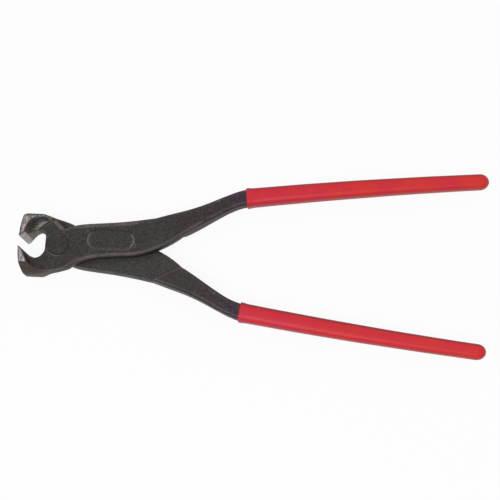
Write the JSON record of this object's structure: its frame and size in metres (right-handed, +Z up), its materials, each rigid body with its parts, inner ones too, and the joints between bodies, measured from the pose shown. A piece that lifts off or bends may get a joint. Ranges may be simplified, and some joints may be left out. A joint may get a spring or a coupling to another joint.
{
  "type": "fencing pliers",
  "caption": "Long-handled lap-joint end-cutting pliers for fence wire: crossed dark forged levers on a flush rivet, wide pincer jaws with ground edges, and slim red dipped vinyl handle sleeves.",
  "frame": {"origin": "middle of the overall box in X and Y, on the plane of the jaw cheeks' underside (z = 0); the rivet's axis is at x = -145.85 mm, y = 0", "axes": "+X from the jaws to the handles along the tool's axis, +Y towards the front lever's handle, +Z up along the rivet, square to the plane the levers swing in"},
  "size_m": [0.3487, 0.14, 0.032],
  "materials": {
    "black_steel": "oil-blackened forged steel, satin, with bright ground cheeks and edges",
    "rivet_steel": "blackened rivet ground flush with fine turning marks",
    "red_vinyl": "dipped plasticised vinyl, smooth satin gloss"
  },
  "bodies": {
    "front_half": {"front_lever": "black_steel", "front_grip": "red_vinyl", "pivot_rivet": "rivet_steel"},
    "rear_half": {"rear_lever": "black_steel", "rear_grip": "red_vinyl"}
  },
  "joints": [
    {"name": "pivot", "type": "hinge", "parent": "front_half", "child": "rear_half", "pos_m": [-0.14585, 0, 0.016], "axis": [0, 0, 1], "range_deg": [-45, 14.1]}
  ]
}
